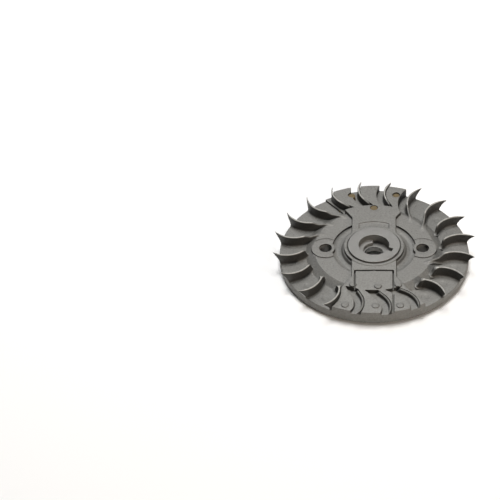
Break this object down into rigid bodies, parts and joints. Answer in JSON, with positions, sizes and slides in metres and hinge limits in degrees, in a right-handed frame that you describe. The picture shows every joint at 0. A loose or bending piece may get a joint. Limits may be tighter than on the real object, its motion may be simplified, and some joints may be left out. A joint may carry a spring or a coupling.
{
  "type": "flywheel",
  "caption": "Magneto flywheel with a ring of curved cooling blades, a keyed taper bore, and a magnet sector opposite a counterweight sector.",
  "frame": {"origin": "on the spin axis, at the height of the two boss seats on the flat side", "axes": "+Z along the spin axis towards the fan side and the nut; +Y towards the magnet sector; the pawl bosses lie on X"},
  "size_m": [0.1034, 0.1014, 0.0106],
  "materials": {
    "cast_aluminium": "die cast, bare",
    "machined_steel": "turned",
    "magnet_alloy": "cast, matte",
    "laminated_steel": "stamped, lightly rusted",
    "weight_steel": "rolled, lightly rusted"
  },
  "bodies": {
    "root": {"rotor_disc": "cast_aluminium", "fan_blades_left": "cast_aluminium", "fan_blades_right": "cast_aluminium", "sector_blades": "cast_aluminium", "hub_insert": "machined_steel", "boss_bush_left": "machined_steel", "boss_bush_right": "machined_steel", "magnet": "magnet_alloy", "magnet_keeper": "laminated_steel", "pole_shoe_left": "laminated_steel", "pole_shoe_right": "laminated_steel", "pole_rivets": "laminated_steel", "counterweight": "weight_steel", "counterweight_rivets": "weight_steel"}
  },
  "joints": []
}
